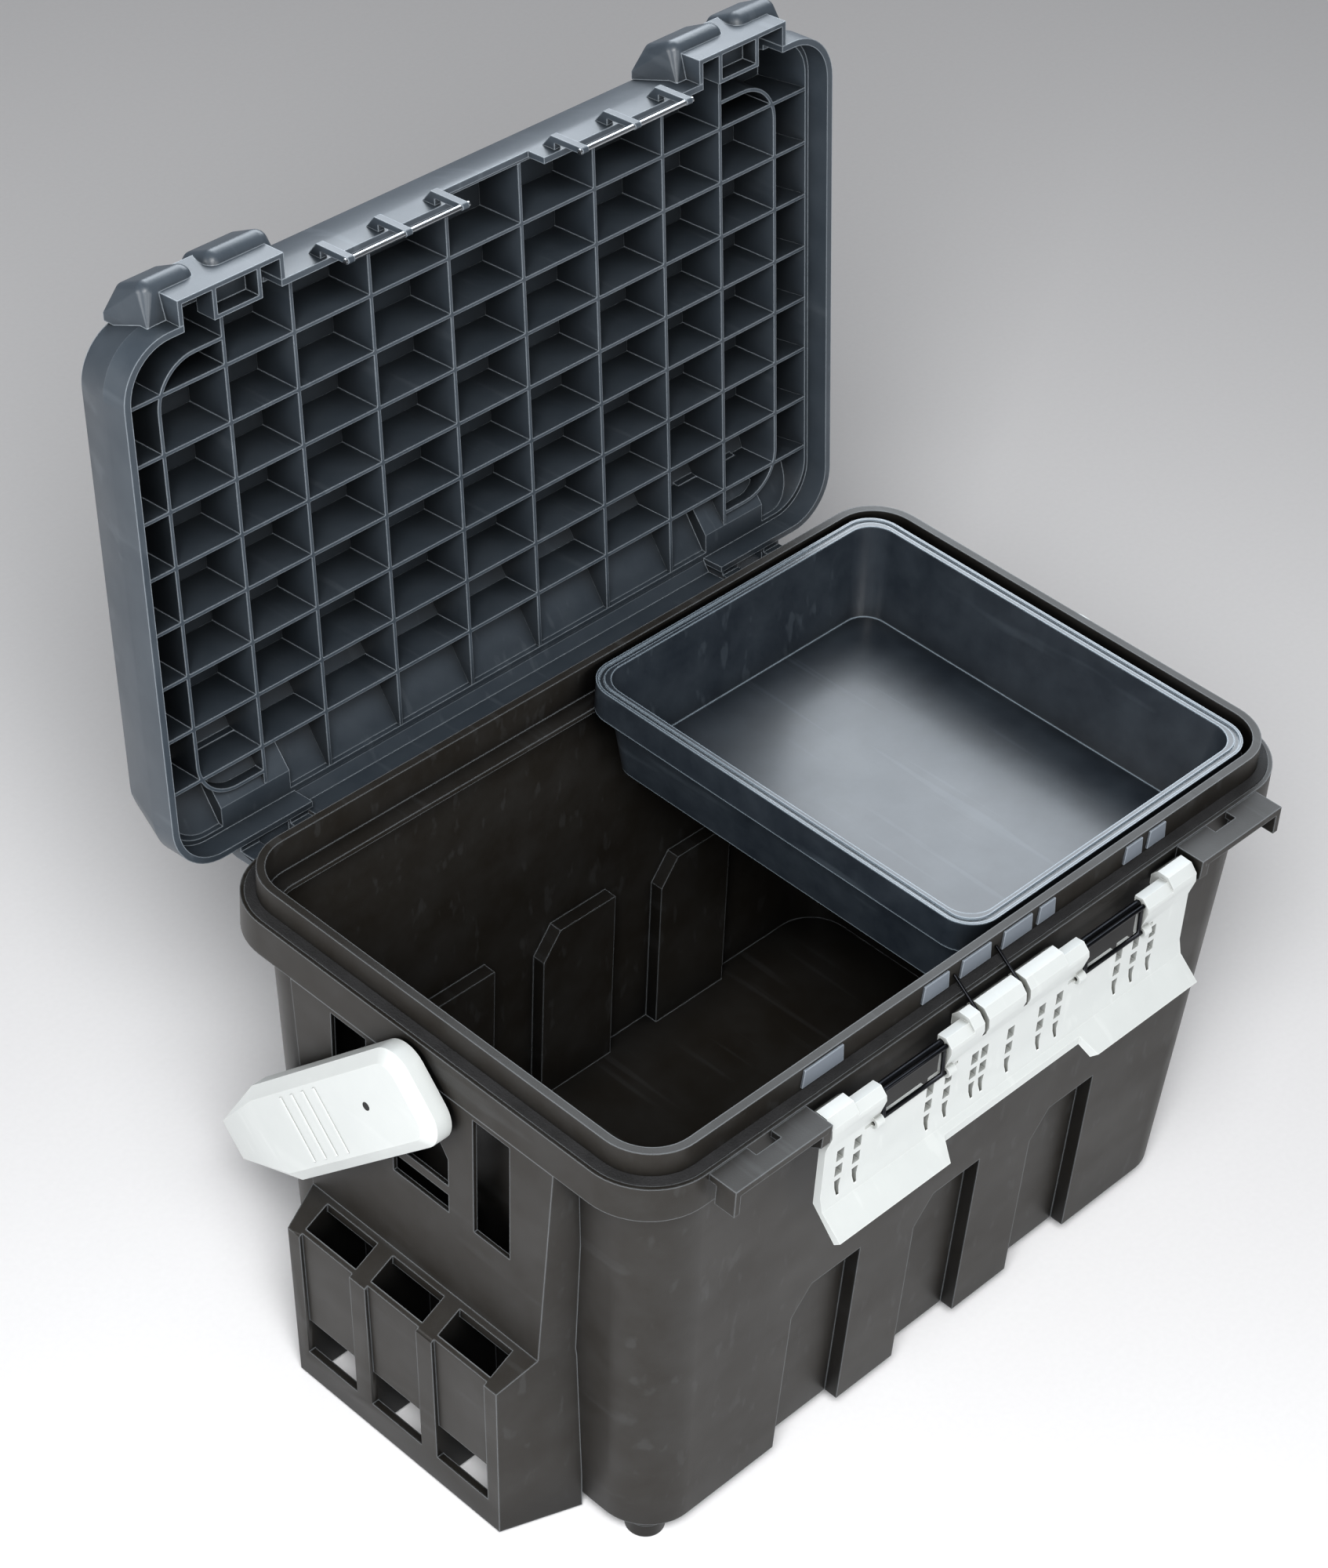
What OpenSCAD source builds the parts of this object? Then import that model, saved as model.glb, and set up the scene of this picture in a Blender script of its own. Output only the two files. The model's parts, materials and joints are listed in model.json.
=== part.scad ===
// Toolbox with a hinged lid, a lift-out tray, a front latch, a carrying bail
// and a three-cell tool holder on each end wall.
// Millimetres, +Z up, +X to the right, +Y to the back. The lid is drawn open.
// Every module below is written about the middle of the tub's base, and placed()
// moves it back so that the origin lies under the middle of the opened box.

/* [Rim] */
// Width of the rim over its skirt
rim_w = 470; // [468:0.5:472]
// Depth of the rim over its skirt
rim_d = 293; // [292:0.5:294]
// Corner radius of the skirt
rim_r = 36.4; // [34:0.2:38]
// Height of the skirt's top edge above the floor
rim_z = 274; // [273:0.5:275]
// Height of the skirt
skirt_h = 20; // [18:0.5:22]
// Thickness of the skirt
skirt_t = 2.4; // [2:0.1:2.6]
// Inset of the sealing lip's outer face from the skirt
lip_out = 7.7; // [7.4:0.1:8]
// Inset of the sealing lip's inner face from the skirt
lip_in = 12.2; // [11.8:0.1:12.4]
// Height of the sealing lip above the skirt
lip_h = 14.3; // [13:0.1:14.5]

/* [Tub] */
// Width of the tub's base
base_w = 404; // [398:1:408]
// Depth of the tub's base
base_d = 264; // [260:1:266]
// Width of the tub just under the skirt
neck_w = 440; // [436:1:442]
// Depth of the tub just under the skirt
neck_d = 278; // [274:1:279]
// Corner radius of the tub's base
base_r = 28; // [24:1:32]
// Wall and floor thickness
wall = 3; // [2.6:0.1:3.4]
// Height of the feet under the tub
foot_h = 12; // [10:1:14]
// Height of the ledge that carries the tray
ledge_z = 269; // [268:0.5:270]
// Half of the clear width between the two tray ledges
ledge_y = 124; // [123.8:0.1:124.5]

/* [Wall recesses] */
// Spacing of the three recesses
recess_pitch = 89; // [84:1:94]
// Width of a recess
recess_w = 47; // [40:1:52]
// Depth of a recess
recess_deep = 8; // [5:0.5:9]
// Height of a recess's top edge
recess_top = 124; // [110:1:135]

/* [Tool holders] */
// Height of the upper edge of the holder's sloping top
holder_top = 120; // [116:1:124]
// Distance from the box's middle to the holder's ridge
holder_x = 250.5; // [249:0.5:252]
// Spacing of the three cells
cell_pitch = 47; // [46:0.5:48]
// Width of a cell
cell_w = 36; // [34:0.5:37]

/* [Lid] */
// Width of the lid at its lower edge
lid_w = 464; // [463:0.5:465]
// Depth of the lid at its lower edge
lid_d = 288; // [287.5:0.5:288.5]
// Corner radius of the lid
lid_r = 29; // [27:0.5:31]
// Height of the lid's lower edge when it is shut
lid_z = 275.4; // [275.3:0.1:275.6]
// Height of the lid's top when it is shut
lid_top = 320.4; // [319:0.2:321]
// Opening angle of the lid
lid_open = 96; // [92:1:98]
// Thickness of the stiffening ribs
rib_t = 2; // [1.6:0.1:2.4]

/* [Tray] */
// Width of the tray
tray_w = 219; // [216:0.5:219.5]
// Depth of the tray over its rim
tray_d = 261; // [260:0.2:261.4]
// Height of the tray
tray_h = 55; // [50:1:58]
// Left edge of the tray
tray_x = -3; // [-4:0.5:-2]

/* [Handle] */
// Angle of the lowered handle below level
bail_drop = 44.7; // [44:0.1:45]
// Distance of the handle's pivot behind the tub's middle
bail_y = 9; // [6:0.5:11]
// Height of the handle's pivot
bail_z = 237.3; // [236.8:0.1:238]
// Half of the width of the handle's arm
arm_half = 26; // [24:0.5:27]
// Radius of the pivot stud
stud_r = 7; // [6:0.5:8]
// Running clearance round pins and studs
fit = 0.05; // [0.02:0.01:0.08]

/* [Hidden] */
$fn = 96;
eps = 0.01;

// Colours
body_black = "#2b2a29";
lid_slate = "#49525b";
tray_blue = "#2f3740";
latch_white = "#e4e5e2";
steel = "#b9bcc0";
wire_black = "#1b1b1c";
rubber = "#161616";

// The frame's origin, behind the middle of the tub
origin_y = 36.5;

// Levels of the rim
skirt_z = rim_z - skirt_h;
deck_z = ledge_z - wall;
lip_z = rim_z + lip_h;
shell_z = foot_h;
lean_x = (neck_w - base_w) / 2 / (skirt_z - shell_z);
lean_y = (neck_d - base_d) / 2 / (skirt_z - shell_z);

// Axes of the hinge, latch and catch, in the YZ plane
hinge = [149.4, 253.3];
hinge_x = 170;
hinge_r = 3.4;
pin_r = 1.6;
latch_axis = [-155, 265];
axle_r = 2;
link_axis = [-159.4, 249];
link_top = [-158.6, 265.5];
link_r = 1.2;
rod_axis = [-149.3, 259.5];
rod_r = 1.4;

// Lid levels
lid_step = 288.8;
lid_bend = 290;
lid_edge = 315;
lid_roof = lid_top - wall;

function half_w(z) = base_w / 2 + (z - shell_z) * lean_x;
function half_d(z) = base_d / 2 + (z - shell_z) * lean_y;

module placed() {
    translate([0, -origin_y, 0]) children();
}

// A rectangle with round corners, about the origin
module rounded(w, d, r) {
    square([w - 2 * r, d], center = true);
    square([w, d - 2 * r], center = true);
    for (x = [-1, 1], y = [-1, 1])
        translate([x * (w / 2 - r), y * (d / 2 - r)])
            circle(r = r);
}

// A rounded slab from height z0 to z1
module slab(w, d, r, z0, z1) {
    translate([0, 0, z0])
        linear_extrude(z1 - z0)
            rounded(w, d, r);
}

// A rounded block that changes from w0 x d0 at z0 to w1 x d1 at z1
module taper(w0, d0, r, z0, w1, d1, z1) {
    translate([0, 0, z0])
        linear_extrude(height = z1 - z0, scale = [w1 / w0, d1 / d0], slices = 1)
            rounded(w0, d0, r);
}

// A block with its profile in the YZ plane, from x0 to x1
module along_x(x0, x1) {
    translate([x0, 0, 0])
        rotate([90, 0, 90])
            linear_extrude(x1 - x0)
                children();
}

// A block with its profile in the XZ plane, from y0 to y1
module along_y(y0, y1) {
    translate([0, y1, 0])
        rotate([90, 0, 0])
            linear_extrude(y1 - y0)
                children();
}

// A round bar along X about a point of the YZ plane
module bar_x(p, r, x0, x1) {
    translate([x0, p[0], p[1]])
        rotate([0, 90, 0])
            cylinder(r = r, h = x1 - x0);
}

// Shows a part and its mirror image on the other side
module both_sides() {
    children();
    mirror([1, 0, 0]) children();
}

module front_and_back() {
    children();
    mirror([0, 1, 0]) children();
}

// Turns the shut lid to its open place about the hinge
module opened() {
    translate([0, hinge[0], hinge[1]])
        rotate([-lid_open, 0, 0])
            translate([0, -hinge[0], -hinge[1]])
                children();
}

// ---------- Tub ----------

// One sunk panel of the front wall, grown by extra on its edges and floor
module recess(x, extra) {
    low = shell_z - 20;
    edge = recess_w / 2 + extra;
    top = recess_top + extra;
    floor_low = -half_d(low) + recess_deep + extra;
    floor_top = -half_d(top) + recess_deep + extra;
    intersection() {
        along_y(-200, 0)
            polygon([
                [x - edge, low], [x + edge, low], [x + edge, top],
                [x - edge + 12, top], [x - edge, top - 16]
            ]);
        along_x(-200, 200)
            polygon([
                [-190, low - 1], [floor_low, low - 1], [floor_low, low],
                [floor_top, top], [-190, top + 1]
            ]);
    }
}

module recesses(extra) {
    front_and_back()
        for (i = [-1, 0, 1])
            recess(i * recess_pitch, extra);
}

// The tapered wall, inset by a thickness
module tub_block(inset, z0, z1) {
    taper(
        2 * (half_w(z0) - inset), 2 * (half_d(z0) - inset), base_r - inset, z0,
        2 * (half_w(z1) - inset), 2 * (half_d(z1) - inset), z1
    );
}

module tub_walls() {
    difference() {
        tub_block(0, shell_z, deck_z);
        recesses(0);
        difference() {
            tub_block(wall, shell_z + wall, deck_z + 1);
            recesses(wall);
        }
    }
}

// Deck under the rim, with the opening that leaves the tray ledges
module rim_deck() {
    difference() {
        slab(rim_w, rim_d, rim_r, deck_z, ledge_z);
        slab(2 * (half_w(deck_z) - wall), 2 * ledge_y, 16, deck_z - 1, ledge_z + 1);
    }
}

module rim_skirt() {
    difference() {
        slab(rim_w, rim_d, rim_r, skirt_z, rim_z);
        slab(rim_w - 2 * skirt_t, rim_d - 2 * skirt_t, rim_r - skirt_t,
            skirt_z - 1, rim_z + 1);
        both_sides()
            translate([hinge_x - 23, rim_d / 2 - 1, skirt_z - 1]) cube([46, 2, 3.2]);
    }
}

module rim_lip() {
    difference() {
        slab(rim_w - 2 * lip_out, rim_d - 2 * lip_out, rim_r - lip_out, deck_z, lip_z);
        slab(rim_w - 2 * lip_in, rim_d - 2 * lip_in, rim_r - lip_in, ledge_z, lip_z + 1);
        slab(2 * (half_w(deck_z) - wall), 2 * ledge_y, 16, deck_z - 1, ledge_z + 1);
    }
}

// Ear of the rim between the lid's two knuckles
module hinge_ear() {
    difference() {
        along_x(hinge_x - 9, hinge_x + 9)
            union() {
                translate(hinge) circle(r = hinge_r);
                polygon([
                    [rim_d / 2 - 1.5, skirt_z + 12], [rim_d / 2 - 1.5, skirt_z - 1],
                    [hinge[0], hinge[1] - hinge_r], [hinge[0] + 2.2, hinge[1] + 2.6]
                ]);
            }
        bar_x(hinge, pin_r, hinge_x - 20, hinge_x + 20);
    }
}

module tub() {
    color(body_black)
        placed() {
            tub_walls();
            rim_deck();
            rim_skirt();
            rim_lip();
            both_sides() hinge_ear();
        }
}

module rim_seal() {
    gap = 0.1;
    out = skirt_t + gap;
    inn = lip_out - gap;
    color(rubber)
        placed()
            difference() {
                slab(rim_w - 2 * out, rim_d - 2 * out, rim_r - out, ledge_z, rim_z + 0.9);
                slab(rim_w - 2 * inn, rim_d - 2 * inn, rim_r - inn, ledge_z - 1, rim_z + 2);
            }
}

// Four pads under the tub's corners
module foot_pads() {
    color(body_black)
        placed()
            both_sides()
                front_and_back()
                    translate([base_w / 2 - 17, base_d / 2 - 17, 0]) {
                        cylinder(r = 10, h = foot_h - 3);
                        translate([0, 0, foot_h - 3]) cylinder(r = 11, h = 3);
                    }
}

// ---------- Tool holders ----------

// A thin level outline of the left holder: its face at x, half as wide as y
module holder_outline(x, y, z, back) {
    translate([0, 0, z])
        linear_extrude(eps)
            polygon([[-x, -y], [-x, y], [-190, back], [-190, -back]]);
}

module holder_block() {
    hull() {
        holder_outline(rim_w / 2, 88, skirt_z - eps, 92);
        holder_outline(229, 79, holder_top, 92);
    }
    hull() {
        holder_outline(229, 79, holder_top, 92);
        holder_outline(holder_x, 73.5, holder_top - 12, 92);
        holder_outline(243, 72.5, 2, 92);
    }
}

// Space behind the upper panel
module holder_hollow() {
    hull() {
        holder_outline(rim_w / 2 - 2.5, 85, skirt_z + 1, 89);
        holder_outline(226.4, 76, holder_top - 7, 89);
    }
}

// One cell: open at the sloping top, at the bottom and through its lower slot
module cell(y) {
    y0 = y - cell_w / 2;
    y1 = y + cell_w / 2;
    along_y(y0, y1)
        polygon([
            [-238.6, -1], [-246, 106], [-246, 126], [-232, 126],
            [-232, holder_top - 7], [-190, holder_top - 7], [-190, -1]
        ]);
    along_y(y0, y1)
        polygon([
            [-260, 44], [-243.7, 44], [-248.5, 107], [-248.5, 126], [-260, 126]
        ]);
    translate([-260, y0, 21]) cube([30, cell_w, 23]);
}

// Windows of the upper panel, the middle one crossed by a bar
module holder_windows() {
    along_x(-250, -222) {
        for (s = [-1, 1])
            translate([s * 48 - 12, 176])
                square([24, 75]);
        polygon([
            [-19, 194], [19, 194], [19, 212], [13, 221], [-13, 221], [-19, 212]
        ]);
        translate([-19, 176]) square([38, 12]);
    }
}

module side_holder() {
    difference() {
        holder_block();
        holder_hollow();
        for (i = [-1, 0, 1])
            cell(i * cell_pitch);
        holder_windows();
        along_y(-100, 100)
            polygon([
                [-half_w(0), -1], [-half_w(skirt_z + 1), skirt_z + 1],
                [-100, skirt_z + 1], [-100, -1]
            ]);
    }
}

module side_holder_left() {
    color(body_black) placed() side_holder();
}

module side_holder_right() {
    color(body_black) placed() mirror([1, 0, 0]) side_holder();
}

// Boss on the end panel with the stud that carries one arm of the handle
boss_r = 25;
boss_x = 237.2;
stud_end = 247;

module handle_pivot() {
    difference() {
        bar_x([bail_y, bail_z], boss_r, -boss_x, -230);
        along_y(-60, 60)
            polygon([
                [-rim_w / 2, rim_z], [-rim_w / 2, skirt_z], [-229, holder_top],
                [-200, holder_top], [-200, rim_z]
            ]);
        translate([-240, -60, holder_top]) cube([20, 120, 102]);
    }
    bar_x([bail_y, bail_z], stud_r, -stud_end, -boss_x);
}

module handle_pivot_left() {
    color(body_black) placed() handle_pivot();
}

module handle_pivot_right() {
    color(body_black) placed() mirror([1, 0, 0]) handle_pivot();
}

// ---------- Front latch, body side ----------

// Bracket on the front of the skirt: shelf with a square socket, outer tab and
// inner cheek with the axle's bore
module latch_bracket() {
    face = -rim_d / 2;
    difference() {
        union() {
            translate([137, face - 16.5, 269.5]) cube([60, 16.5, 4]);
            translate([193.5, face - 16.5, 258]) cube([3.5, 12, 11.5]);
            along_x(134, 140)
                polygon([
                    [face, 273.5], [face, 255], [face - 4, 255], [face - 16, 262],
                    [face - 16.5, 273.5]
                ]);
            for (x = [149, 176])
                along_x(x, x + 3)
                    polygon([[face, 269.5], [face, 257], [face - 13, 269.5]]);
        }
        translate([157, face - 6, 266]) cube([16, 7, 10]);
        bar_x(latch_axis, axle_r, 130, 145);
    }
}

module latch_bracket_left() {
    color(body_black) placed() mirror([1, 0, 0]) latch_bracket();
}

module latch_bracket_right() {
    color(body_black) placed() latch_bracket();
}

module latch_axle() {
    color(wire_black) placed() bar_x(latch_axis, axle_r, -140, 140);
}

// Two wire clips from the sealing lip over the axle
clip_x = [-25, 5];
clip_r = 1;
clip_bend = 3.4;
clip_start = 127;

module axle_clip(x) {
    target = [-rim_d / 2 + lip_out - 0.3, 281];
    from = latch_axis + clip_bend * [cos(clip_start), sin(clip_start)];
    span = target - from;
    translate([x, latch_axis[0], latch_axis[1]])
        rotate([90, 0, 90])
            rotate([0, 0, clip_start])
                rotate_extrude(angle = 120)
                    translate([clip_bend, 0])
                        circle(r = clip_r);
    translate([x, from[0], from[1]])
        rotate([atan2(span[1], span[0]) - 90, 0, 0])
            translate([0, 0, -1])
                cylinder(r = clip_r - 0.2, h = norm(span) + 1);
}

module axle_clips() {
    color(wire_black)
        placed()
            for (x = clip_x)
                axle_clip(x);
}

// ---------- Lid ----------

module hinge_pin() {
    bar_x(hinge, pin_r, hinge_x - 23, hinge_x + 23);
}

module hinge_pin_left() {
    color(steel) placed() mirror([1, 0, 0]) hinge_pin();
}

module hinge_pin_right() {
    color(steel) placed() hinge_pin();
}

// Outer form of the shut lid
module lid_outer() {
    slab(lid_w, lid_d, lid_r, lid_z, lid_bend);
    taper(lid_w, lid_d, lid_r, lid_bend, lid_w - 14, lid_d - 14, lid_edge);
    taper(lid_w - 14, lid_d - 14, lid_r - 2, lid_edge, lid_w - 24, lid_d - 24, lid_top);
}

// Space under the lid's roof
module lid_cavity() {
    taper(lid_w - 12, lid_d - 12, lid_r - 5, lid_step, lid_w - 22, lid_d - 22, lid_roof);
}

// Room that the lid's sloping back takes from the cavity
module lid_slope() {
    along_x(-lid_w / 2, lid_w / 2)
        polygon([[98, lid_top], [98, lid_roof - 1], [140, lid_bend], [150, lid_bend], [150, lid_top]]);
}

// Bevel along the top of the back
module lid_bevel() {
    along_x(-lid_w / 2, lid_w / 2)
        polygon([[104, lid_top + 1], [104, lid_top], [142, 302], [150, 302], [150, lid_top + 1]]);
}

// Seat of a hinge block, raised inside the sloping back
module hinge_seat() {
    along_x(hinge_x - 22, hinge_x + 22)
        polygon([
            [102, lid_top], [106, 304.5], [127.5, lid_step], [144, lid_step], [144, lid_top]
        ]);
}

module lid_space() {
    difference() {
        lid_cavity();
        lid_slope();
        both_sides() hinge_seat();
    }
}

// Flange that carries the sloping back down behind the tub's skirt
flange_half = 146;
flange_in = 147.6;
flange_out = 150.2;
flange_z = 263;

module lid_flange() {
    along_x(-flange_half, flange_half)
        polygon([
            [141, 299.5], [flange_out, 288.5], [flange_out, flange_z],
            [flange_in, flange_z], [flange_in, 280], [141, 280]
        ]);
}

// Room inside the flange, under the slope's lower end
module flange_space() {
    along_x(-flange_half, flange_half)
        polygon([
            [139, lid_z - 1], [139, lid_step], [141.8, lid_step],
            [flange_in, 285], [flange_in, lid_z - 1]
        ]);
}

module lid_shell() {
    color(lid_slate)
        placed()
            opened()
                difference() {
                    union() {
                        lid_outer();
                        lid_flange();
                    }
                    lid_bevel();
                    flange_space();
                    slab(lid_w - 7.6, lid_d - 6.8, lid_r - 3.6, lid_z - 1, lid_step + eps);
                    lid_space();
                    translate([-28, -lid_d / 2 - 1, lid_z - 1]) cube([56, 5, 12]);
                    both_sides()
                        translate([lug_x0 + lug_t, -lid_d / 2 - 1, lid_z - 1])
                            cube([lug_x1 - lug_x0 - 2 * lug_t, 10, lug_z - lid_z - 2]);
                }
}

// Positions of the ribs that run along Y and along X
rib_xs = [24.1, 73.8, 121.6, 163];
rib_ys = [15.1, 45.3, 75.5, 105.7];

// Rib round each end of the grid, with round corners
module rib_loop() {
    difference() {
        slab(408, 242, 24, lid_step, lid_top);
        slab(408 - 2 * rib_t, 242 - 2 * rib_t, 24 - rib_t, lid_step - 1, lid_top + 1);
        translate([-rib_xs[3], -lid_d / 2, lid_step - 1]) cube([2 * rib_xs[3], lid_d, 40]);
    }
}

module lid_ribs() {
    color(lid_slate)
        placed()
            opened()
                intersection() {
                    union() {
                        for (s = [-1, 1], x = rib_xs)
                            translate([s * x - rib_t / 2, -lid_d / 2, lid_step])
                                cube([rib_t, lid_d, 40]);
                        for (s = [-1, 1], y = rib_ys)
                            translate([-lid_w / 2, s * y - rib_t / 2, lid_step])
                                cube([lid_w, rib_t, 40]);
                        rib_loop();
                    }
                    lid_space();
                }
}

// Raised seat on top of the lid
module lid_top_panel() {
    w = lid_w - 38;
    color(lid_slate)
        placed()
            opened()
                taper(w, 150, 10, lid_top, w - 6, 144, lid_top + 8);
}

// Front corner lug: a hollow box open downwards, with a socket in it and two
// round grip lobes above it
lug_x0 = 135;
lug_x1 = 197;
lug_z = 304;
lug_t = 2.4;
lug_deep = 13;
lobe_spans = [[128, 169], [173, 208]];

module lug_box(inset, z0, z1) {
    translate([lug_x0 + inset, -lid_d / 2 - lug_deep + inset, z0])
        cube([lug_x1 - lug_x0 - 2 * inset, lug_deep + 8, z1 - z0]);
}

module grip_lobe(x0, x1) {
    face = -lid_d / 2;
    hull() {
        translate([x0, face + 3, 284]) cube([x1 - x0, 4, 32]);
        for (x = [x0 + 8, x1 - 8]) {
            translate([x, face - 12, 294]) sphere(r = 6, $fn = 32);
            translate([x, face - 7, 308]) sphere(r = 5, $fn = 32);
        }
    }
}

module lid_lug() {
    face = -lid_d / 2;
    difference() {
        union() {
            lug_box(0, lid_z, lug_z);
            for (span = lobe_spans)
                grip_lobe(span[0], span[1]);
        }
        difference() {
            lug_box(lug_t, lid_z - 1, lug_z - lug_t);
            translate([148.8, face - lug_deep, lid_z - 2]) cube([28.4, 17.5, 14]);
        }
        translate([151, face - lug_deep + lug_t, lid_z - 2]) cube([24, 13, 11]);
        translate([153, face - lug_deep + lug_t, lid_z]) cube([13, 5, 20]);
        difference() {
            lid_outer();
            lug_box(lug_t + eps, lid_z - 2, lid_z + 13);
        }
        translate([100, face + 8, lid_z - 3]) cube([120, 20, 60]);
    }
}

module lid_lug_left() {
    color(lid_slate) placed() opened() mirror([1, 0, 0]) lid_lug();
}

module lid_lug_right() {
    color(lid_slate) placed() opened() lid_lug();
}

// Hinge block: two knuckles on one back plate
knuckle_front = 147.2;

module lid_hinge() {
    back = lid_d / 2;
    difference() {
        union() {
            for (x = [hinge_x - 22, hinge_x + 10])
                along_x(x, x + 12)
                    union() {
                        translate(hinge) circle(r = hinge_r);
                        polygon([
                            [knuckle_front, hinge[1] + 2.4], [knuckle_front, lid_z + 1],
                            [back, lid_z + 1], [back, lid_bend],
                            [hinge[0] + 1, lid_bend], [hinge[0] + hinge_r, 280],
                            [hinge[0] + hinge_r, hinge[1]], hinge
                        ]);
                    }
            along_x(hinge_x - 22, hinge_x + 22)
                polygon([
                    [back, 278], [back, lid_bend], [hinge[0] + 1, lid_bend],
                    [hinge[0] + hinge_r, 280], [hinge[0] + hinge_r, 278]
                ]);
        }
        bar_x(hinge, pin_r + fit, hinge_x - 30, hinge_x + 30);
    }
}

module lid_hinge_left() {
    color(lid_slate) placed() opened() mirror([1, 0, 0]) lid_hinge();
}

module lid_hinge_right() {
    color(lid_slate) placed() opened() lid_hinge();
}

// Six hooks on the lid's front that carry the catch rods
hook_xs = [39, 74.5, 110];

module catch_hook(x) {
    face = -lid_d / 2;
    back = rod_axis[0] + 1.7;
    front = rod_axis[0] - 1.7;
    difference() {
        along_x(x - 2, x + 2)
            union() {
                translate(rod_axis) circle(r = 1.7 + eps);
                polygon([
                    [back, rod_axis[1]], [back, 277.5], [face, 277.5], [face, 286],
                    [front, 280], [front, rod_axis[1]]
                ]);
            }
        bar_x(rod_axis, rod_r, x - 3, x + 3);
    }
}

module catch_hooks() {
    color(lid_slate)
        placed()
            opened()
                both_sides()
                    for (x = hook_xs)
                        catch_hook(x);
}

module catch_rod() {
    bar_x(rod_axis, rod_r, hook_xs[0] - 3, hook_xs[2] + 3);
}

module catch_rod_left() {
    color(steel) placed() opened() mirror([1, 0, 0]) catch_rod();
}

module catch_rod_right() {
    color(steel) placed() opened() catch_rod();
}

// ---------- Latch ----------

latch_half = 132;
plate_back = -155;
plate_front = -159;

// Full knuckle round the axle, joined to the plate
module knuckle_profile() {
    polygon([
        [-147.4, 262], [-147.4, 267.8], [-151, 271.8], [-157.5, 271.5], [-161.5, 267],
        [-162, 262], [plate_front, 252], [plate_front, 248], [plate_back, 248],
        [plate_back, 255], [-151, 257]
    ]);
}

// Lower block beside a notch, clear of the catch rods
module step_profile() {
    polygon([
        [-152.6, 262], [-152.6, 268.5], [-157.5, 269], [-161.5, 265],
        [-162, 262], [plate_front, 252], [plate_front, 248], [plate_back, 248],
        [plate_back, 258]
    ]);
}

// The plate with its swept lower flange
module plate_profile(tip_y, tip_z) {
    polygon([
        [plate_back, 250], [plate_back, 216], [tip_y + 3.5, tip_z - 3],
        [tip_y, tip_z], [-161, 214], [plate_front, 222], [plate_front, 250]
    ]);
}

// Columns of pockets through the plate
pocket_xs = [-121, -109, -59, -46, -27, -20, -1, 22, 35, 80, 93, 106];

module pocket_column(x) {
    for (span = [[239.5, 246.5], [230, 236.5]])
        translate([x - 2.5, plate_front - 1, span[0]])
            cube([5, 6, span[1] - span[0]]);
    along_y(plate_front - 1, plate_back + 1)
        polygon([[x - 2.2, 227], [x + 2.2, 227], [x + 0.6, 216], [x - 0.6, 216]]);
}

// Slots that let the wire clips reach the axle
module clip_slot(x) {
    bar_x(latch_axis, 9.2, x - 1.6, x + 1.6);
}

// Ears that hold the lower bar of a catch link
module link_ears() {
    for (x = [45, 95])
        along_x(x, x + 5)
            union() {
                translate(link_axis) circle(r = 3, $fn = 48);
                polygon([
                    [plate_front + 1, 245], [plate_front + 1, 252],
                    [link_axis[0], 252], [link_axis[0], 246]
                ]);
            }
}

// Trapezoid cut that shortens the flange in the middle
module middle_notch() {
    translate([0, 0, 190])
        linear_extrude(30)
            polygon([[-58, -180], [-50, -164], [50, -164], [58, -180]]);
}

module latch_plate() {
    color(latch_white)
        placed()
            difference() {
                union() {
                    along_x(-34, 34) knuckle_profile();
                    both_sides() {
                        along_x(114, latch_half) knuckle_profile();
                        along_x(34 - eps, 50) step_profile();
                        along_x(95, 114 + eps) step_profile();
                        link_ears();
                    }
                    along_x(-latch_half, latch_half) plate_profile(-173.5, 203);
                }
                middle_notch();
                both_sides() {
                    translate([50, -165, 246.5]) cube([45, 20, 30]);
                    bar_x(link_axis, link_r + fit, 40, 105);
                }
                bar_x(latch_axis, axle_r + fit, -140, 140);
                for (x = clip_x)
                    clip_slot(x);
                for (x = pocket_xs)
                    pocket_column(x);
            }
}

// Wire loop that pulls a catch rod down
module catch_link() {
    lean = link_top - link_axis;
    bar_x(link_axis, link_r, 46, 99);
    bar_x(link_top, link_r, 50.4, 94.6);
    for (x = [52, 93])
        translate([x, link_axis[0], link_axis[1]])
            rotate([atan2(lean[1], lean[0]) - 90, 0, 0])
                cylinder(r = link_r - 0.1, h = norm(lean));
}

module catch_link_left() {
    color(wire_black) placed() mirror([1, 0, 0]) catch_link();
}

module catch_link_right() {
    color(wire_black) placed() catch_link();
}

// ---------- Handle ----------

// Turns a shape drawn along +Y from the pivot down to the handle's resting angle
module lowered() {
    translate([0, bail_y, bail_z])
        rotate([-bail_drop, 0, 0])
            children();
}

// Faces of the arm beside the box, its length and the section of the crossbar
arm_in = 237.5;
arm_out = 251;
arm_front = -31.6;
arm_bend = 107;
bar_u = [199, 214];
bar_w = [-17, 5];
arm_foot = [199.5, 214];

// A thin cross-section of the arm at distance u from the pivot
module arm_section(u, x_out, x_in, w0, w1) {
    translate([-x_out, u, w0]) cube([x_out - x_in, eps, w1 - w0]);
}

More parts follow.
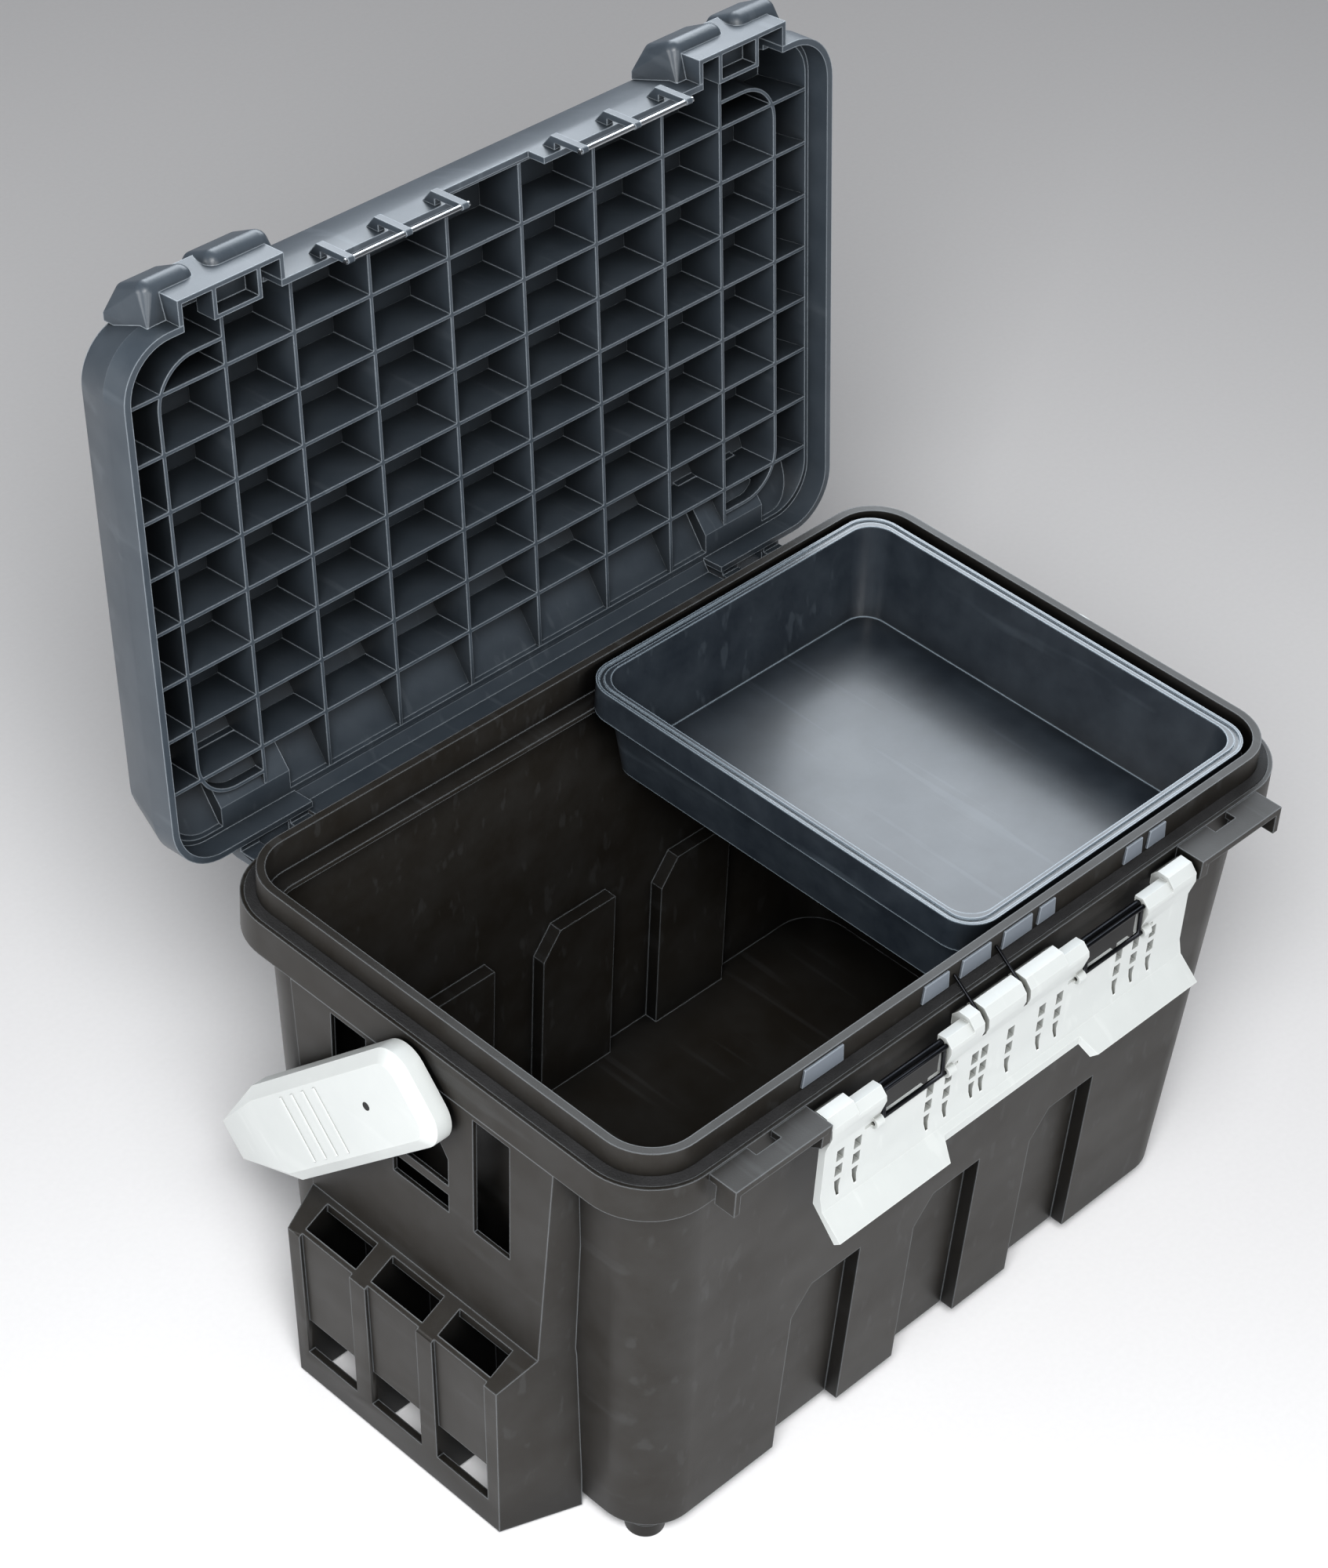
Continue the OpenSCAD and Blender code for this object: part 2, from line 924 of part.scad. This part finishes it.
// Thick outer end of an arm, with round corners and bevelled outer edges
module arm_head() {
    round_r = 15;
    bevel = 6;
    hull()
        for (s = [-1, 1]) {
            corner = [arm_front + round_r, s * (arm_half - round_r)];
            bar_x(corner, round_r, -arm_out + 4.5, -arm_in, $fn = 32);
            bar_x(corner + [1, 0], round_r - bevel, -arm_out, -arm_out + 1, $fn = 32);
            arm_section(arm_bend, arm_out - 4.5, arm_in, -arm_half, arm_half);
            arm_section(arm_bend, arm_out, arm_in, bevel - arm_half, arm_half - bevel);
        }
}

module arm() {
    difference() {
        arm_head();
        bar_x([0, 0], stud_r + fit, -stud_end - 0.6, -200);
    }
    hull() {
        arm_section(arm_bend - eps, arm_out - 4.5, arm_in, -arm_half, arm_half);
        arm_section(arm_bend - eps, arm_out, arm_in, -arm_half + 6, arm_half - 6);
        translate([-arm_foot[1], bar_u[0], bar_w[0]])
            cube([arm_foot[1] - arm_foot[0], bar_u[1] - bar_u[0], bar_w[1] - bar_w[0]]);
    }
}

module handle() {
    color(latch_white)
        placed()
            lowered() {
                both_sides() arm();
                translate([-arm_foot[0] - 1, bar_u[0], bar_w[0]])
                    cube([2 * arm_foot[0] + 2, bar_u[1] - bar_u[0], bar_w[1] - bar_w[0]]);
            }
}

// ---------- Tray ----------

tray_top = 287;
tray_r = 18;
tray_t = 2.2;
tray_draft = 8;
tray_rim = 6.5;

// The tray's inner form, grown by extra, from height z0 to z1
module tray_space(extra, z0, z1) {
    inner_w = tray_w - 2 * tray_rim;
    inner_d = tray_d - 2 * tray_rim;
    lean0 = tray_draft * (tray_top - z0) / tray_h;
    lean1 = tray_draft * (tray_top - z1) / tray_h;
    taper(
        inner_w - 2 * lean0 + 2 * extra, inner_d - 2 * lean0 + 2 * extra, tray_r - 4, z0,
        inner_w - 2 * lean1 + 2 * extra, inner_d - 2 * lean1 + 2 * extra, z1
    );
}

// A level ring between two insets from the tray's outer edge
module tray_ring(inset0, inset1, z0, z1) {
    difference() {
        slab(tray_w - 2 * inset0, tray_d - 2 * inset0, tray_r - inset0, z0, z1);
        slab(tray_w - 2 * inset1, tray_d - 2 * inset1, tray_r - inset1, z0 - 1, z1 + 1);
    }
}

module tray() {
    low = tray_top - tray_h;
    step = ledge_z + 0.3;
    color(tray_blue)
        placed()
            translate([tray_x + tray_w / 2, 0, 0])
                difference() {
                    union() {
                        tray_space(tray_t, low, tray_top - eps);
                        tray_ring(0, tray_t, step, tray_top);
                        tray_ring(tray_t - eps, tray_rim + 1, tray_top - 3, tray_top);
                    }
                    tray_space(0, low + 2.5, tray_top + 1);
                    tray_ring(1.6, 4.2, tray_top - 1, tray_top + 1);
                }
}

tub();
rim_seal();
side_holder_left();
side_holder_right();
foot_pads();
latch_bracket_left();
latch_bracket_right();
latch_axle();
axle_clips();
handle_pivot_left();
handle_pivot_right();
hinge_pin_left();
hinge_pin_right();
lid_shell();
lid_ribs();
lid_top_panel();
lid_lug_left();
lid_lug_right();
lid_hinge_left();
lid_hinge_right();
catch_hooks();
catch_rod_left();
catch_rod_right();
latch_plate();
catch_link_left();
catch_link_right();
handle();
tray();
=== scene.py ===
"""Looks of the toolbox with a lift-out tray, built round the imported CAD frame."""

import json
import math

import bmesh
import bpy
from mathutils import Matrix, Vector

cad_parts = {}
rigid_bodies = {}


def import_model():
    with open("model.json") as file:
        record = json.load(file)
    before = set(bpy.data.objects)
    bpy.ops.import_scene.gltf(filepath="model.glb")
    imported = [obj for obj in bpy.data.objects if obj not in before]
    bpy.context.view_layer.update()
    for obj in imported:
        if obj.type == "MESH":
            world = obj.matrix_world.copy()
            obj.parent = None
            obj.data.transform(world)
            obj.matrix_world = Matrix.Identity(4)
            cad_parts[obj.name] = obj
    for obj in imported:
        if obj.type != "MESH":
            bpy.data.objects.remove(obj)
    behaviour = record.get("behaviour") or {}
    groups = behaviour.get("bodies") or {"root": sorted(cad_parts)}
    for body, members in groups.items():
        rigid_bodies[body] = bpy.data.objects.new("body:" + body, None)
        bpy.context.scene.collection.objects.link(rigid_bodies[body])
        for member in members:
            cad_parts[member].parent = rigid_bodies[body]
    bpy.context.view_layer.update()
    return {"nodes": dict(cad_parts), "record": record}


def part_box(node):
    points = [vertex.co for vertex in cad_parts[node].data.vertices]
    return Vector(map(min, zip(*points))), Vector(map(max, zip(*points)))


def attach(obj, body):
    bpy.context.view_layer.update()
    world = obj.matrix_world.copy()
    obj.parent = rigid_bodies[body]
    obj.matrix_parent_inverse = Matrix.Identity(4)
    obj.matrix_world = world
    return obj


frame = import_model()
nodes = frame["nodes"]
MM = 0.001

# ---------- Camera ----------

CAMERA_AT = Vector((-1.1215, -0.9632, 1.492))
CAMERA_AZIMUTH = 48.31  # degrees from +Y towards +X
CAMERA_DOWN = 39.55  # degrees below the horizon
CAMERA_ROLL = 4.15  # degrees
CAMERA_LENS = 89.15  # mm, over the long side of the frame


def add_camera():
    camera = bpy.data.objects.new("camera", bpy.data.cameras.new("camera"))
    bpy.context.scene.collection.objects.link(camera)
    azimuth, down = math.radians(CAMERA_AZIMUTH), math.radians(CAMERA_DOWN)
    forward = Vector(
        (
            math.sin(azimuth) * math.cos(down),
            math.cos(azimuth) * math.cos(down),
            -math.sin(down),
        )
    )
    level = forward.to_track_quat("-Z", "Y").to_matrix().to_4x4()
    roll = Matrix.Rotation(math.radians(CAMERA_ROLL), 4, "Z")
    camera.matrix_world = Matrix.Translation(CAMERA_AT) @ level @ roll
    camera.data.lens = CAMERA_LENS
    bpy.context.scene.camera = camera


# ---------- Materials ----------

EDGE_AGREEMENT = (0.86, 0.995)  # of the rounded and the flat normal, on an edge and off it
OPEN_SHARE = (0.25, 0.85)  # of the sky that a hollow and an open face see, from full painted shade to none


class Nodes:
    """A short way to write a material's node tree."""

    def __init__(self, name):
        self.material = bpy.data.materials.new(name)
        self.material.use_nodes = True
        self.tree = self.material.node_tree
        self.shader = self.tree.nodes["Principled BSDF"]

    def add(self, kind, inputs=None, **settings):
        node = self.tree.nodes.new(kind)
        for key, value in settings.items():
            setattr(node, key, value)
        for key, value in (inputs or {}).items():
            self.set(node.inputs[key], value)
        return node

    def set(self, socket, value):
        if isinstance(value, bpy.types.NodeSocket):
            self.tree.links.new(value, socket)
        else:
            socket.default_value = value

    def shade(self, **values):
        """Sets the shader's inputs, named in lower case with underscores."""
        for key, value in values.items():
            words = [w.upper() if w == "ior" else w.capitalize() for w in key.split("_")]
            self.set(self.shader.inputs[" ".join(words)], value)

    def place(self):
        """Place in the object's own frame, in metres."""
        return self.add("ShaderNodeTexCoord").outputs["Object"]

    def noise(self, scale, detail=4.0, roughness=0.55, stretch=(1, 1, 1)):
        scaled = self.add("ShaderNodeMapping", {"Vector": self.place(), "Scale": stretch})
        inputs = {
            "Vector": scaled.outputs[0],
            "Scale": scale,
            "Detail": detail,
            "Roughness": roughness,
        }
        return self.add("ShaderNodeTexNoise", inputs).outputs["Fac"]

    def ramp(self, value, source, target):
        """Maps a value from one range to another, and clamps it there."""
        inputs = {
            "Value": value,
            "From Min": source[0],
            "From Max": source[1],
            "To Min": target[0],
            "To Max": target[1],
        }
        return self.add("ShaderNodeMapRange", inputs).outputs[0]

    def mix(self, share, first, second):
        node = self.add("ShaderNodeMix", data_type="RGBA")
        self.set(node.inputs[0], share)
        self.set(node.inputs[6], first)
        self.set(node.inputs[7], second)
        return node.outputs[2]

    def multiply(self, a, b):
        node = self.add("ShaderNodeMath", operation="MULTIPLY")
        self.set(node.inputs[0], a)
        self.set(node.inputs[1], b)
        return node.outputs[0]

    def edges(self, radius):
        """1 along an edge, inner or outer, and 0 on a flat face: where the painted highlight
        goes.
        """
        rounded = self.add("ShaderNodeBevel", {"Radius": radius}, samples=4)
        flat = self.add("ShaderNodeNewGeometry").outputs["Normal"]
        node = self.add("ShaderNodeVectorMath", operation="DOT_PRODUCT")
        self.set(node.inputs[0], rounded.outputs[0])
        self.set(node.inputs[1], flat)
        return self.ramp(node.outputs["Value"], EDGE_AGREEMENT, (1.0, 0.0))

    def open_air(self, reach):
        """1 on an open face, towards 0 in a cell or a groove: where the painted shade goes."""
        node = self.add("ShaderNodeAmbientOcclusion", {"Distance": reach}, samples=6)
        return self.ramp(node.outputs["AO"], OPEN_SHARE, (0.0, 1.0))

    def bump(self, height, strength, distance):
        inputs = {"Height": height, "Strength": strength, "Distance": distance}
        return self.add("ShaderNodeBump", inputs).outputs["Normal"]


def colour(text):
    """A linear colour from the hex digits of an sRGB one."""
    parts = [int(text[i : i + 2], 16) / 255 for i in (0, 2, 4)]
    linear = [p / 12.92 if p <= 0.04045 else ((p + 0.055) / 1.055) ** 2.4 for p in parts]
    return (*linear, 1.0)


def plastic(name, look):
    """Moulded plastic: grain, flow marks, dust, scuffs, painted shade in hollows, painted edge
    highlights.
    """
    n = Nodes(name)
    dust, rough = look["dust"], look["rough"]
    base, scuff_and_highlight, hollow_shade = (colour(look[key]) for key in ("base", "scuff_and_highlight", "hollow_shade"))
    flow = n.noise(scale=9.0, detail=3.0, roughness=0.5, stretch=(1, 1, 2.5))
    fine = n.noise(scale=1600.0, detail=2.0, roughness=0.6)
    cloud = n.noise(scale=38.0, detail=5.0, roughness=0.62)
    scratch = n.noise(scale=150.0, detail=2.0, roughness=0.5, stretch=(1, 0.05, 0.4))
    scuffs = n.ramp(scratch, (0.62, 0.7), (0.0, dust))
    toned = n.mix(n.ramp(cloud, (0.35, 0.75), (0.0, dust)), base, scuff_and_highlight)
    scuffed = n.mix(scuffs, toned, scuff_and_highlight)
    # painted shade: hollows, cells and grooves take the dark hollow colour as they see less
    # sky
    shaded = n.mix(n.open_air(look["reach"]), hollow_shade, scuffed)
    # painted highlight: edges, inner and outer, take the pale colour that also serves for dust
    # and scuffs
    edge_highlighted = n.mix(n.multiply(n.edges(look["highlight_width"]), look["edge"]), shaded, scuff_and_highlight)
    n.shade(
        base_color=edge_highlighted,
        roughness=n.ramp(flow, (0.3, 0.7), (rough - 0.05, rough + 0.07)),
        normal=n.bump(fine, look["grain"], distance=0.0002),
        specular_ior_level=look["shine"],
        coat_weight=look["coat"],
        coat_roughness=0.18,
    )
    return n.material


def steel(name, base, rough, streaks):
    """Drawn metal, with fine streaks along its length and a little tarnish."""
    n = Nodes(name)
    drawn = n.noise(scale=420.0, detail=3.0, roughness=0.6, stretch=(0.06, 1, 1))
    tarnish = n.noise(scale=60.0, detail=4.0, roughness=0.6)
    dark = tuple(c * 0.55 for c in base[:3]) + (1.0,)
    n.shade(
        base_color=n.mix(n.ramp(tarnish, (0.45, 0.75), (0.0, 0.6)), base, dark),
        roughness=n.ramp(drawn, (0.3, 0.7), (rough - 0.08, rough + 0.1)),
        normal=n.bump(drawn, streaks, distance=0.0001),
        metallic=1.0,
    )
    return n.material


def rubber(name):
    """Soft foam strip: dark, open-grained and dusty."""
    n = Nodes(name)
    cells = n.add("ShaderNodeTexVoronoi", {"Vector": n.place(), "Scale": 900.0})
    dust = n.noise(scale=55.0, detail=5.0, roughness=0.65)
    dusty = n.ramp(dust, (0.4, 0.75), (0.0, 0.35))
    n.shade(
        base_color=n.mix(dusty, colour("131314"), colour("333335")),
        roughness=n.ramp(dust, (0.3, 0.7), (0.78, 0.92)),
        normal=n.bump(cells.outputs["Distance"], 0.5, distance=0.0004),
    )
    return n.material


# Looks of the plastics. The first three entries are sRGB colours: of a face; of dust, scuffs
# and the painted highlight along an edge; and of the painted shade in a hollow. shine is the
# specular level, grain the strength of the fine bump, edge the share of painted highlight on
# an edge, whose width in metres comes next, dust the share of dust and scuffs, and reach how
# far in metres a hollow looks for its walls, which sets its painted shade. coat is the weight
# of a glossy skin.
BODY = {
    "base": "201d19",
    "scuff_and_highlight": "878c90",
    "hollow_shade": "050505",
    "shine": 0.26,
    "rough": 0.42,
    "grain": 0.22,
    "edge": 0.55,
    "highlight_width": 0.0011,
    "dust": 0.04,
    "reach": 0.05,
    "coat": 0.0,
}
LID = {
    "base": "363e46",
    "scuff_and_highlight": "a2abb3",
    "hollow_shade": "0d1013",
    "shine": 0.45,
    "rough": 0.40,
    "grain": 0.18,
    "edge": 0.75,
    "highlight_width": 0.0009,
    "dust": 0.05,
    "reach": 0.03,
    "coat": 0.0,
}
# the lip pads are the tub's black plastic; this paler slate paints the sheen their faces catch
PAD_SHEEN = {**LID, "base": "6c737c", "hollow_shade": "3a3f45", "reach": 0.02}
TRAY = {
    "base": "1a2027",
    "scuff_and_highlight": "9dacb8",
    "hollow_shade": "0c0f12",
    "shine": 0.5,
    "rough": 0.36,
    "grain": 0.08,
    "edge": 0.8,
    "highlight_width": 0.0014,
    "dust": 0.04,
    "reach": 0.02,
    "coat": 0.2,
}
WHITE = {
    "base": "c0c4c3",
    "scuff_and_highlight": "e6e9e7",
    "hollow_shade": "5c5d56",
    "shine": 0.5,
    "rough": 0.42,
    "grain": 0.12,
    "edge": 0.45,
    "highlight_width": 0.0008,
    "dust": 0.1,
    "reach": 0.01,
    "coat": 0.0,
}


def make_materials():
    return {
        "body_plastic": plastic("body_plastic", BODY),
        "lid_plastic": plastic("lid_plastic", LID),
        "tray_plastic": plastic("tray_plastic", TRAY),
        "white_plastic": plastic("white_plastic", WHITE),
        "seal_rubber": rubber("seal_rubber"),
        "pad_plastic": plastic("pad_plastic", PAD_SHEEN),
        "bright_steel": steel("bright_steel", colour("c3c7cb"), rough=0.24, streaks=0.12),
        "black_wire": steel("black_wire", colour("26272a"), rough=0.36, streaks=0.2),
    }


# ---------- CAD nodes ----------

BEVELS = {  # edge rounding in millimetres
    "tub": 0.9,
    "handle": 1.6,
    "lid_shell": 0.9,
    "lid_top_panel": 1.2,
    "lid_ribs": 0.35,
    "tray": 0.7,
    "side_holder_left": 0.8,
    "side_holder_right": 0.8,
    "latch_plate": 0.3,
}
PLAIN_BEVEL = 0.4
ROUND_NODES = {"axle_clips", "catch_link_left", "catch_link_right", "rim_seal"}
WELD_REACH = 0.01  # mm
SHARP_ANGLE = math.radians(32)
FACE_WEIGHT = 80  # how far the large faces set the normals at a rounded edge


def soften(node):
    """Rounds the edges of a CAD node with modifiers, and leaves its mesh as it is."""
    piece = nodes[node]
    weld = piece.modifiers.new("weld", "WELD")
    weld.merge_threshold = WELD_REACH * MM
    if node in ROUND_NODES:
        return
    bevel = piece.modifiers.new("bevel", "BEVEL")
    bevel.width = BEVELS.get(node, PLAIN_BEVEL) * MM
    bevel.segments = 2
    bevel.limit_method = "ANGLE"
    bevel.angle_limit = SHARP_ANGLE
    bevel.use_clamp_overlap = True
    bevel.miter_outer = "MITER_ARC"
    normals = piece.modifiers.new("normals", "WEIGHTED_NORMAL")
    normals.keep_sharp = False
    normals.weight = FACE_WEIGHT


def dress_nodes(materials):
    """Gives each CAD node the material of its slot in the record, and softens its edges."""
    slots = {}
    for entry in frame["record"]["materials"]:
        slots.update({n: entry["slot"] for n in entry.get("nodes", [])})
    for name, piece in nodes.items():
        current = piece.material_slots[0].material.name
        slot = slots.get(name, current.split(".")[0])
        piece.material_slots[0].material = materials[slot]
        soften(name)


# ---------- Details ----------

SUNK = 0.3  # how far a detail starts below the face that it stands on, in millimetres


def joint(name):
    return next(j for j in frame["record"]["behaviour"]["joints"] if j["name"] == name)


def steps(count):
    """Angles of equal steps round a circle."""
    return [2 * math.pi * i / count for i in range(count)]


def add_piece(name, mesh, body, material, bevel=0.3):
    """Puts a mesh in the scene as a piece that rides on a body."""
    piece = bpy.data.objects.new(name, mesh)
    bpy.context.scene.collection.objects.link(piece)
    mesh.materials.append(material)
    rounding = piece.modifiers.new("bevel", "BEVEL")
    rounding.width = bevel * MM
    rounding.segments = 2
    rounding.limit_method = "ANGLE"
    normals = piece.modifiers.new("normals", "WEIGHTED_NORMAL")
    normals.keep_sharp = False
    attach(piece, body)
    return piece


def prism(shape, outline, lift):
    """Adds a prism to a bmesh: a loop of points and the same loop moved by lift."""
    low = [shape.verts.new(p) for p in outline]
    high = [shape.verts.new(Vector(p) + Vector(lift)) for p in outline]
    shape.faces.new(low)
    shape.faces.new(high)
    for i in range(len(low)):
        j = (i + 1) % len(low)
        shape.faces.new((low[i], low[j], high[j], high[i]))


def finish_mesh(shape, name, move=None):
    """Turns a bmesh into a mesh with its faces outwards, moved by a matrix if one is given."""
    if move is not None:
        bmesh.ops.transform(shape, matrix=move, verts=shape.verts)
    bmesh.ops.recalc_face_normals(shape, faces=shape.faces)
    mesh = bpy.data.meshes.new(name)
    shape.to_mesh(mesh)
    shape.free()
    return mesh


# Stretches of the front lip that stand proud between the wires, in millimetres along X
PAD_SPANS = [(-130, -102), (-48, -29), (-21, 1), (9, 31), (35, 48), (100, 114), (118, 132)]
PAD_THICK = 1.2
PAD_SUNK = 0.2
PAD_TAPER = 1  # how much narrower each end is at the top
PAD_HEIGHTS = (276.5, 287)
LIP_INSET = 7.7  # of the lip's front face from the skirt, where the brackets end


def add_lip_pads(materials):
    """Raised pads along the outer face of the sealing lip, above the latch, in a paler slate
    that paints their sheen.
    """
    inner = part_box("latch_bracket_left")[1][1] / MM + LIP_INSET + PAD_SUNK
    shape = bmesh.new()
    z0, z1 = PAD_HEIGHTS
    for x0, x1 in PAD_SPANS:
        outline = [
            (x0, inner, z0),
            (x1, inner, z0),
            (x1 - PAD_TAPER, inner, z1),
            (x0 + PAD_TAPER, inner, z1),
        ]
        depth = -(PAD_THICK + PAD_SUNK) * MM
        prism(shape, [Vector(p) * MM for p in outline], (0, depth, 0))
    mesh = finish_mesh(shape, "lip_pads")
    add_piece("lip_pads", mesh, "box", materials["pad_plastic"])


# Details of the handle's arms, in millimetres: along is the way from the pivot down the arm,
# and across is square to it on the arm's face
HANDLE_DROP = math.radians(44.7)  # of the lowered handle below level
GRIP_RIBS = [46, 57, 68, 79]  # along
GRIP_RIB_HALF = 17.5  # across
GRIP_RIB_WIDE = 2.4
GRIP_RIB_HIGH = 0.6
DOT_ALONG = 10
DOT_ACROSS = 2
DOT_RADIUS = 2.3
DOT_HIGH = 0.2
DOT_SIDES = 20


def arm_frame(side):
    """From arm coordinates in millimetres (out, along, across) to the scene."""
    pivot = Vector(joint("handle_swing")["pos_m"])
    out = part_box("handle")[1][0] * side
    turn = Matrix.Rotation(-HANDLE_DROP, 4, "X")
    flip = Matrix.Diagonal((side, 1, 1, 1))
    return (
        Matrix.Translation(Vector((out, pivot.y, pivot.z)))
        @ turn
        @ flip
        @ Matrix.Scale(MM, 4)
    )


def add_handle_details(materials):
    """Moulded ribs across each arm, and beside its pivot a dark disc painting the shade of a
    small recess.
    """
    for side, tag in ((-1, "left"), (1, "right")):
        shape = bmesh.new()
        half, wide = GRIP_RIB_HALF, GRIP_RIB_WIDE / 2
        for u in GRIP_RIBS:
            outline = [
                (-SUNK, u - wide, -half),
                (-SUNK, u + wide, -half),
                (-SUNK, u + wide, half),
                (-SUNK, u - wide, half),
            ]
            prism(shape, outline, (GRIP_RIB_HIGH + SUNK, 0, 0))
        name = "grip_ribs_" + tag
        mesh = finish_mesh(shape, name, arm_frame(side))
        add_piece(name, mesh, "handle", materials["white_plastic"], 0.25)
        # a dark disc standing on the arm paints the shade of a small recess beside the pivot
        shape = bmesh.new()
        ring = [
            (
                -SUNK,
                DOT_ALONG + DOT_RADIUS * math.cos(a),
                DOT_ACROSS + DOT_RADIUS * math.sin(a),
            )
            for a in steps(DOT_SIDES)
        ]
        prism(shape, ring, (DOT_HIGH + SUNK, 0, 0))
        name = "pivot_dot_" + tag
        mesh = finish_mesh(shape, name, arm_frame(side))
        add_piece(name, mesh, "handle", materials["seal_rubber"], 0.15)


# ---------- Surroundings ----------

FLOOR_HALF = 6.0
FLOOR_TONES = ((0.83, 0.83, 0.84, 1), (0.87, 0.87, 0.88, 1))
SKY_COLOUR = (0.93, 0.95, 1.0, 1)
SKY_STRENGTH = 0.13
MIDDLE = (0, 0, 0.25)
NEUTRAL = (1, 1, 1)
COOL = (0.86, 0.93, 1.0)

# Name, place, aim, size in metres, watts, what it lights (all if None) and tint
LIGHTS = [
    ("key", (-1.3, -1.05, 2.0), MIDDLE, (1.0, 1.0), 58, None, NEUTRAL),
    ("back", (1.45, 1.25, 1.8), MIDDLE, (2.2, 1.6), 85, "pieces", COOL),
    ("front", (-0.5, -2.4, 1.0), MIDDLE, (1.2, 0.8), 34, "pieces", NEUTRAL),
    ("left", (-2.0, 0.5, 0.9), MIDDLE, (1.2, 0.8), 26, "pieces", NEUTRAL),
    ("wash", (-1.0, -1.1, 1.5), (-0.5, -0.6, 0), (0.9, 0.9), 22, "floor", NEUTRAL),
]


def add_floor():
    mesh = bpy.data.meshes.new("floor")
    half = FLOOR_HALF
    corners = [(-half, -half, 0), (half, -half, 0), (half, half, 0), (-half, half, 0)]
    mesh.from_pydata(corners, [], [(0, 1, 2, 3)])
    floor = bpy.data.objects.new("floor", mesh)
    bpy.context.scene.collection.objects.link(floor)
    n = Nodes("studio_floor")
    paper = n.noise(scale=300.0, detail=2.0, roughness=0.5)
    n.shade(base_color=n.mix(paper, *FLOOR_TONES), roughness=0.85)
    mesh.materials.append(n.material)


def add_light(name, place, aim, size, power, only, tint):
    """A soft box; with a collection in only, it lights nothing else."""
    data = bpy.data.lights.new(name, "AREA")
    data.shape = "RECTANGLE"
    data.size, data.size_y = size
    data.energy = power
    data.color = tint
    light = bpy.data.objects.new(name, data)
    bpy.context.scene.collection.objects.link(light)
    light.location = place
    light.rotation_euler = (Vector(aim) - Vector(place)).to_track_quat("-Z", "Y").to_euler()
    if only:
        light.light_linking.receiver_collection = only


def add_lights():
    lit = {
        "pieces": bpy.data.collections.new("lit_pieces"),
        "floor": bpy.data.collections.new("lit_floor"),
    }
    for piece in bpy.data.objects:
        if piece.type == "MESH":
            lit["floor" if piece.name == "floor" else "pieces"].objects.link(piece)
    for name, place, aim, size, power, only, tint in LIGHTS:
        add_light(name, place, aim, size, power, lit.get(only), tint)
    world = bpy.data.worlds.new("studio")
    bpy.context.scene.world = world
    world.use_nodes = True
    background = world.node_tree.nodes["Background"]
    background.inputs["Color"].default_value = SKY_COLOUR
    background.inputs["Strength"].default_value = SKY_STRENGTH
    bpy.context.scene.view_settings.view_transform = "Standard"


add_camera()
finishes = make_materials()
dress_nodes(finishes)
add_lip_pads(finishes)
add_handle_details(finishes)
add_floor()
add_lights()
